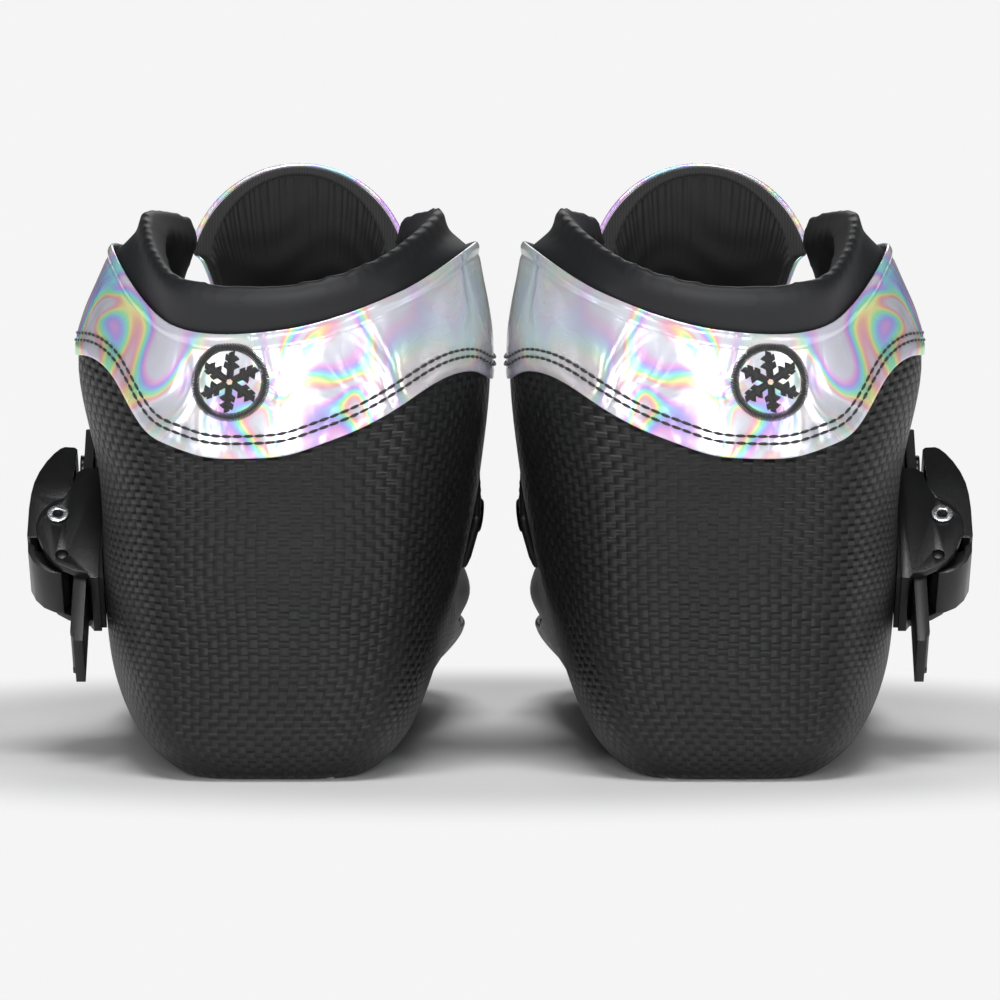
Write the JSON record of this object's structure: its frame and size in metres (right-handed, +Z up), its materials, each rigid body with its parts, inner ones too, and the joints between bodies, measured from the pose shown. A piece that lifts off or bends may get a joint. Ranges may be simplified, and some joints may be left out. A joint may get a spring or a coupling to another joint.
{
  "type": "speed skating boots",
  "caption": "Pair of low-cut carbon speed skating boots with padded collars, ratchet instep buckles, open lace throats and threaded sole mounts for a blade or wheel frame.",
  "frame": {"origin": "on the ground, midway between the two boots and midway between heel and toe", "axes": "+Y from heel to toe, +Z up, +X to the right boot's outer side"},
  "size_m": [0.2412, 0.282, 0.1528],
  "materials": {
    "carbon": "matt clear-coated black carbon weave",
    "trim": "silver iridescent coated microfibre",
    "upper": "black microfibre",
    "black_metal": "black oxide steel",
    "padding": "soft black padded fabric",
    "lining": "black suede",
    "insole": "black fabric",
    "tongue": "black padded fabric",
    "binding": "woven black tape",
    "thread": "black embroidery",
    "alloy": "anodised",
    "buckle": "satin black",
    "rubber": "matt",
    "steel": "satin",
    "strap": "satin black",
    "soft_strap": "satin black"
  },
  "bodies": {
    "left_boot": {"left_shell": "carbon", "left_trim_panel": "trim", "left_quarter_outer": "upper", "left_quarter_inner": "upper", "left_vamp": "upper", "left_eyelet_stays": "trim", "left_eyelets": "black_metal", "left_collar": "padding", "left_lining": "lining", "left_insole": "insole", "left_tongue": "tongue", "left_tongue_binding": "binding", "left_emblem": "thread", "left_mount_block_front": "alloy", "left_mount_block_rear": "alloy", "left_buckle_base": "buckle", "left_buckle_spacer": "rubber", "left_buckle_bolts": "steel", "left_lever_pin": "steel", "left_lever_spring": "steel", "left_release_pin": "steel", "left_release_spring": "steel", "left_instep_strap": "soft_strap", "left_strap_rivet": "steel", "left_strap_screw": "steel"},
    "left_lever_body": {"left_lever": "buckle", "left_drive_pin": "steel"},
    "left_drive_pawl_body": {"left_drive_pawl": "steel"},
    "left_release_lever_body": {"left_release_lever": "buckle"},
    "left_ladder_body": {"left_ladder_strap": "strap"},
    "right_boot": {"right_shell": "carbon", "right_trim_panel": "trim", "right_quarter_outer": "upper", "right_quarter_inner": "upper", "right_vamp": "upper", "right_eyelet_stays": "trim", "right_eyelets": "black_metal", "right_collar": "padding", "right_lining": "lining", "right_insole": "insole", "right_tongue": "tongue", "right_tongue_binding": "binding", "right_emblem": "thread", "right_mount_block_front": "alloy", "right_mount_block_rear": "alloy", "right_buckle_base": "buckle", "right_buckle_spacer": "rubber", "right_buckle_bolts": "steel", "right_lever_pin": "steel", "right_lever_spring": "steel", "right_release_pin": "steel", "right_release_spring": "steel", "right_instep_strap": "soft_strap", "right_strap_rivet": "steel", "right_strap_screw": "steel"},
    "right_lever_body": {"right_lever": "buckle", "right_drive_pin": "steel"},
    "right_drive_pawl_body": {"right_drive_pawl": "steel"},
    "right_release_lever_body": {"right_release_lever": "buckle"},
    "right_ladder_body": {"right_ladder_strap": "strap"}
  },
  "joints": [
    {"name": "left_lever_swing", "type": "hinge", "parent": "left_boot", "child": "left_lever_body", "pos_m": [-0.11282, -0.0643, 0.0553], "axis": [0, -0.7071, 0.7071], "range_deg": [0, 50], "stiffness_Nm_per_rad": 0.02, "springref_deg": -8.59},
    {"name": "left_drive_pawl_swing", "type": "hinge", "parent": "left_lever_body", "child": "left_drive_pawl_body", "pos_m": [-0.11152, -0.05928, 0.06032], "axis": [0, -0.7071, 0.7071], "range_deg": [0, 12], "stiffness_Nm_per_rad": 0.002, "springref_deg": -11.46},
    {"name": "left_release_swing", "type": "hinge", "parent": "left_boot", "child": "left_release_lever_body", "pos_m": [-0.11122, -0.07378, 0.04582], "axis": [0, -0.7071, 0.7071], "range_deg": [0, 10], "stiffness_Nm_per_rad": 0.01, "springref_deg": -11.46},
    {"name": "left_ladder_slide", "type": "slide", "parent": "left_boot", "child": "left_ladder_body", "axis": [0, 0.7071, 0.7071], "range_m": [-0.005, 0.005]},
    {"name": "right_lever_swing", "type": "hinge", "parent": "right_boot", "child": "right_lever_body", "pos_m": [0.11282, -0.0643, 0.0553], "axis": [0, 0.7071, -0.7071], "range_deg": [0, 50], "stiffness_Nm_per_rad": 0.02, "springref_deg": -8.59},
    {"name": "right_drive_pawl_swing", "type": "hinge", "parent": "right_lever_body", "child": "right_drive_pawl_body", "pos_m": [0.11152, -0.05928, 0.06032], "axis": [0, 0.7071, -0.7071], "range_deg": [0, 12], "stiffness_Nm_per_rad": 0.002, "springref_deg": -11.46},
    {"name": "right_release_swing", "type": "hinge", "parent": "right_boot", "child": "right_release_lever_body", "pos_m": [0.11122, -0.07378, 0.04582], "axis": [0, 0.7071, -0.7071], "range_deg": [0, 10], "stiffness_Nm_per_rad": 0.01, "springref_deg": -11.46},
    {"name": "right_ladder_slide", "type": "slide", "parent": "right_boot", "child": "right_ladder_body", "axis": [0, 0.7071, 0.7071], "range_m": [-0.005, 0.005]},
    {"name": "right_boot_set_down", "type": "slide", "parent": "left_boot", "child": "right_boot", "axis": [1, 0, 0], "range_m": [0, 0.15]}
  ]
}
